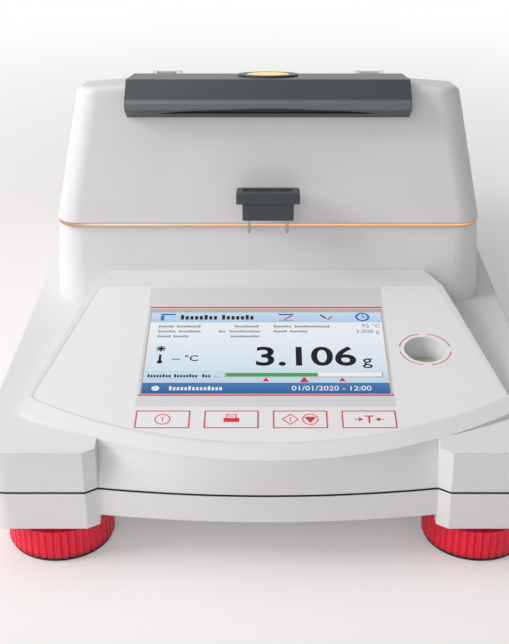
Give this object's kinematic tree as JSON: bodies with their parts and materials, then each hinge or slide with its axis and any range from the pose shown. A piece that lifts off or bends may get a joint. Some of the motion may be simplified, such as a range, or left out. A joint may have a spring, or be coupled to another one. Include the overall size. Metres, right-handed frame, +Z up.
{
  "type": "moisture analyzer",
  "caption": "Moisture analyzer: a bench balance with a sloping touch display and a halogen heater in a hinged, dark-handled lid over a round sample pan.",
  "frame": {"origin": "on the table, under the middle of the case's outline", "axes": "+Z up, the display and keys face -Y, +X to the right of someone using it"},
  "size_m": [0.208, 0.338, 0.1502],
  "materials": {
    "casing": "fine-textured off-white moulding",
    "dark_plastic": "dark slate moulding",
    "red_plastic": "red moulding, satin",
    "overlay": "printed polyester film",
    "key_film": "printed polyester film",
    "glass": "touch glass",
    "display": "lit display",
    "vial": "clear vial",
    "board": "circuit board",
    "rubber": "moulded rubber",
    "steel": "plain steel",
    "aluminium": "machined aluminium",
    "sheet_metal": "pressed stainless sheet",
    "pan_metal": "pressed aluminium foil pan",
    "mirror": "polished reflector",
    "lamp_glass": "halogen lamp glass",
    "window_glass": "tinted viewing window",
    "guard_glass": "heat-resistant glass",
    "ceramic": "ceramic"
  },
  "bodies": {
    "base": {"lower_case": "casing", "upper_case": "casing", "case_screws": "steel", "rear_feet": "rubber", "control_overlay": "overlay", "touch_glass": "glass", "lcd_module": "display", "keypad_board": "board", "level_vial": "vial", "main_board": "board", "power_supply": "board", "rear_plate": "dark_plastic", "power_inlet": "dark_plastic", "fuse_holder": "dark_plastic", "serial_port": "steel", "usb_device_port": "steel", "usb_host_port": "steel", "load_cell": "aluminium", "cell_block": "aluminium", "pan_support": "aluminium", "chamber_tray": "sheet_metal", "draft_shield": "sheet_metal", "sample_pan": "pan_metal", "handler_wire": "steel", "handler_grip": "dark_plastic", "hinge_ears": "steel", "hinge_pins": "steel", "lid_buffers": "rubber"},
    "lid": {"lid_shell": "casing", "lid_handle": "dark_plastic", "window_rim": "dark_plastic", "window_glass": "window_glass", "heater_plate": "sheet_metal", "lid_screws": "steel", "guard_glass": "guard_glass", "glass_ring": "sheet_metal", "reflector": "mirror", "halogen_lamp": "lamp_glass", "lamp_sockets": "ceramic", "temperature_sensor": "steel", "hinge_arms": "steel"},
    "fuse_drawer": {"fuse_drawer": "dark_plastic"},
    "key_power": {"key_power": "key_film"},
    "key_print": {"key_print": "key_film"},
    "key_start_stop": {"key_start_stop": "key_film"},
    "key_tare": {"key_tare": "key_film"},
    "left_foot": {"left_foot_pad": "rubber"},
    "left_wheel": {"left_foot_wheel": "red_plastic", "left_foot_screw": "steel"},
    "right_foot": {"right_foot_pad": "rubber"},
    "right_wheel": {"right_foot_wheel": "red_plastic", "right_foot_screw": "steel"}
  },
  "joints": [
    {"name": "lid_hinge", "type": "hinge", "parent": "base", "child": "lid", "pos_m": [0, 0.156, 0.097], "axis": [-1, 0, 0], "range_deg": [0, 80]},
    {"name": "fuse_drawer_slide", "type": "slide", "parent": "base", "child": "fuse_drawer", "axis": [0, 1, 0], "range_m": [0, 0.018]},
    {"name": "key_power_press", "type": "slide", "parent": "base", "child": "key_power", "axis": [0, 0.1685, -0.9857], "range_m": [0, 0.0004], "stiffness_N_per_m": 800, "springref_m": -0.0002},
    {"name": "key_print_press", "type": "slide", "parent": "base", "child": "key_print", "axis": [0, 0.1685, -0.9857], "range_m": [0, 0.0004], "stiffness_N_per_m": 800, "springref_m": -0.0002},
    {"name": "key_start_stop_press", "type": "slide", "parent": "base", "child": "key_start_stop", "axis": [0, 0.1685, -0.9857], "range_m": [0, 0.0004], "stiffness_N_per_m": 800, "springref_m": -0.0002},
    {"name": "key_tare_press", "type": "slide", "parent": "base", "child": "key_tare", "axis": [0, 0.1685, -0.9857], "range_m": [0, 0.0004], "stiffness_N_per_m": 800, "springref_m": -0.0002},
    {"name": "left_foot_slide", "type": "slide", "parent": "base", "child": "left_foot", "axis": [0, 0, 1], "range_m": [-0.0061, 0.0016]},
    {"name": "left_wheel_spin", "type": "hinge", "parent": "left_foot", "child": "left_wheel", "pos_m": [-0.0798, -0.1464, 0], "axis": [0, 0, 1], "range_deg": [-2160, 540]},
    {"name": "right_foot_slide", "type": "slide", "parent": "base", "child": "right_foot", "axis": [0, 0, 1], "range_m": [-0.0061, 0.0016]},
    {"name": "right_wheel_spin", "type": "hinge", "parent": "right_foot", "child": "right_wheel", "pos_m": [0.0798, -0.1464, 0], "axis": [0, 0, 1], "range_deg": [-2160, 540]}
  ],
  "couplings": [
    {"joint": "left_foot_slide", "follows": "left_wheel_spin", "m_per_rad": 0.00015915},
    {"joint": "right_foot_slide", "follows": "right_wheel_spin", "m_per_rad": 0.00015915}
  ]
}
